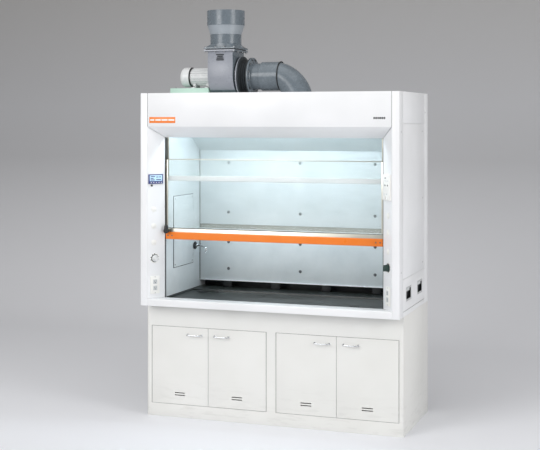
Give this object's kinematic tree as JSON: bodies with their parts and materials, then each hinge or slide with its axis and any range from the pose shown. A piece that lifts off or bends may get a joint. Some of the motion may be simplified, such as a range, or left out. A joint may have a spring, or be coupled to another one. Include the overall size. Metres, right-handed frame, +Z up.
{
  "type": "fume hood",
  "caption": "Bench fume hood on a cupboard base, with counterbalanced sliding sash, baffled chamber, sink and roof-mounted exhaust fan.",
  "frame": {"origin": "floor level, in the middle of the width and of the depth", "axes": "+Z up, -Y towards the person using the hood, +X to that person's right"},
  "size_m": [1.8, 0.85, 2.8],
  "materials": {
    "body_white": "satin",
    "base_white": "satin",
    "galvanised": "dull",
    "liner_board": "satin",
    "worktop_resin": "satin",
    "chrome": "polished",
    "sash_pane": "clear",
    "sash_frame": "satin",
    "grip_orange": "satin",
    "latch_black": "matte",
    "weight_iron": "painted",
    "pulley_steel": "satin",
    "control_white": "satin",
    "knob_green": "satin",
    "screen_blue": "gloss",
    "lamp_opal": "opal",
    "fan_mint": "satin",
    "motor_silver": "painted",
    "duct_grey": "satin",
    "flex_black": "matte"
  },
  "bodies": {
    "root": {"side_panel_left": "body_white", "side_panel_right": "body_white", "post_left": "body_white", "post_right": "body_white", "header_fascia": "body_white", "front_sill": "body_white", "base_side_left": "base_white", "base_side_right": "base_white", "base_face_frame": "base_white", "base_bottom": "base_white", "base_divider": "base_white", "base_back": "galvanised", "back_panel": "galvanised", "roof_panel": "galvanised", "liner_left": "liner_board", "liner_right": "liner_board", "access_panel_left": "liner_board", "baffle_lower": "liner_board", "baffle_upper": "liner_board", "baffle_top": "liner_board", "worktop": "worktop_resin", "cup_sink": "worktop_resin", "water_spout": "chrome", "sash_wire_left": "pulley_steel", "sash_wire_right": "pulley_steel", "switch_panel": "control_white", "outlet_left": "control_white", "outlet_right": "control_white", "airflow_monitor": "screen_blue", "lamp_unit": "lamp_opal", "fan_base": "fan_mint", "fan_motor": "motor_silver", "scroll_casing": "duct_grey", "outlet_duct": "duct_grey", "inlet_pipe": "duct_grey", "inlet_elbow": "duct_grey", "inlet_joint": "flex_black"},
    "sash": {"sash_bottom_rail": "sash_frame", "sash_glass": "sash_pane", "sash_handle": "grip_orange"},
    "latch": {"sash_latch": "latch_black"},
    "upper_sash": {"upper_sash_rail": "body_white", "upper_sash_glass": "sash_pane"},
    "counterweights": {"counterweight_left": "weight_iron", "counterweight_right": "weight_iron"},
    "pulley_left": {"sheave_left": "pulley_steel"},
    "pulley_right": {"sheave_right": "pulley_steel"},
    "leaf_1": {"door_1": "base_white", "door_handle_1": "chrome"},
    "leaf_2": {"door_2": "base_white", "door_handle_2": "chrome"},
    "leaf_3": {"door_3": "base_white", "door_handle_3": "chrome"},
    "leaf_4": {"door_4": "base_white", "door_handle_4": "chrome"},
    "fan_wheel": {"impeller": "motor_silver"},
    "knob_left": {"valve_knob_left": "control_white"},
    "knob_right": {"valve_knob_right": "knob_green"},
    "fan_key": {"fan_button": "control_white"},
    "light_key": {"light_button": "control_white"}
  },
  "joints": [
    {"name": "sash_slide", "type": "slide", "parent": "root", "child": "sash", "axis": [0, 0, 1], "range_m": [-0.398, 0.37], "deforming": ["sash_wire_left", "sash_wire_right"]},
    {"name": "upper_sash_slide", "type": "slide", "parent": "root", "child": "upper_sash", "axis": [0, 0, 1], "range_m": [-0.29, 0]},
    {"name": "counterweight_slide", "type": "slide", "parent": "root", "child": "counterweights", "axis": [0, 0, 1], "range_m": [-0.37, 0.398]},
    {"name": "pulley_left_spin", "type": "hinge", "parent": "root", "child": "pulley_left", "pos_m": [-0.822, -0.297, 2.12], "axis": [0, 1, 0], "range_deg": [-531, 571]},
    {"name": "pulley_right_spin", "type": "hinge", "parent": "root", "child": "pulley_right", "pos_m": [0.822, -0.297, 2.12], "axis": [0, 1, 0], "range_deg": [-571, 531]},
    {"name": "latch_pivot", "type": "hinge", "parent": "sash", "child": "latch", "pos_m": [-0.748, -0.325, 1.277], "axis": [0, 1, 0], "range_deg": [0, 70], "stiffness_Nm_per_rad": 0.5, "springref_deg": -11.46},
    {"name": "door_1_hinge", "type": "hinge", "parent": "root", "child": "leaf_1", "pos_m": [-0.861, -0.303, 0.354], "axis": [0, 0, -1], "range_deg": [0, 105]},
    {"name": "door_2_hinge", "type": "hinge", "parent": "root", "child": "leaf_2", "pos_m": [-0.042, -0.303, 0.354], "axis": [0, 0, 1], "range_deg": [0, 90]},
    {"name": "door_3_hinge", "type": "hinge", "parent": "root", "child": "leaf_3", "pos_m": [0.042, -0.303, 0.354], "axis": [0, 0, -1], "range_deg": [0, 90]},
    {"name": "door_4_hinge", "type": "hinge", "parent": "root", "child": "leaf_4", "pos_m": [0.861, -0.303, 0.354], "axis": [0, 0, 1], "range_deg": [0, 105]},
    {"name": "fan_wheel_spin", "type": "hinge", "parent": "root", "child": "fan_wheel", "pos_m": [-0.46, 0.075, 2.337], "axis": [1, 0, 0], "continuous": true},
    {"name": "valve_left_turn", "type": "hinge", "parent": "root", "child": "knob_left", "pos_m": [-0.81508, -0.37934, 1.089], "axis": [0.7943, -0.6076, 0], "range_deg": [0, 90]},
    {"name": "valve_right_turn", "type": "hinge", "parent": "root", "child": "knob_right", "pos_m": [0.81508, -0.37934, 1.089], "axis": [-0.7943, -0.6076, 0], "range_deg": [0, 90]},
    {"name": "fan_button_press", "type": "slide", "parent": "root", "child": "fan_key", "axis": [0.7943, 0.6076, 0], "range_m": [0, 0.003], "stiffness_N_per_m": 250, "springref_m": -0.002},
    {"name": "light_button_press", "type": "slide", "parent": "root", "child": "light_key", "axis": [0.7943, 0.6076, 0], "range_m": [0, 0.003], "stiffness_N_per_m": 250, "springref_m": -0.002}
  ],
  "couplings": [
    {"joint": "counterweight_slide", "follows": "sash_slide", "ratio": -1},
    {"joint": "pulley_right_spin", "follows": "sash_slide", "rad_per_m": 25},
    {"joint": "pulley_left_spin", "follows": "sash_slide", "rad_per_m": -25}
  ]
}
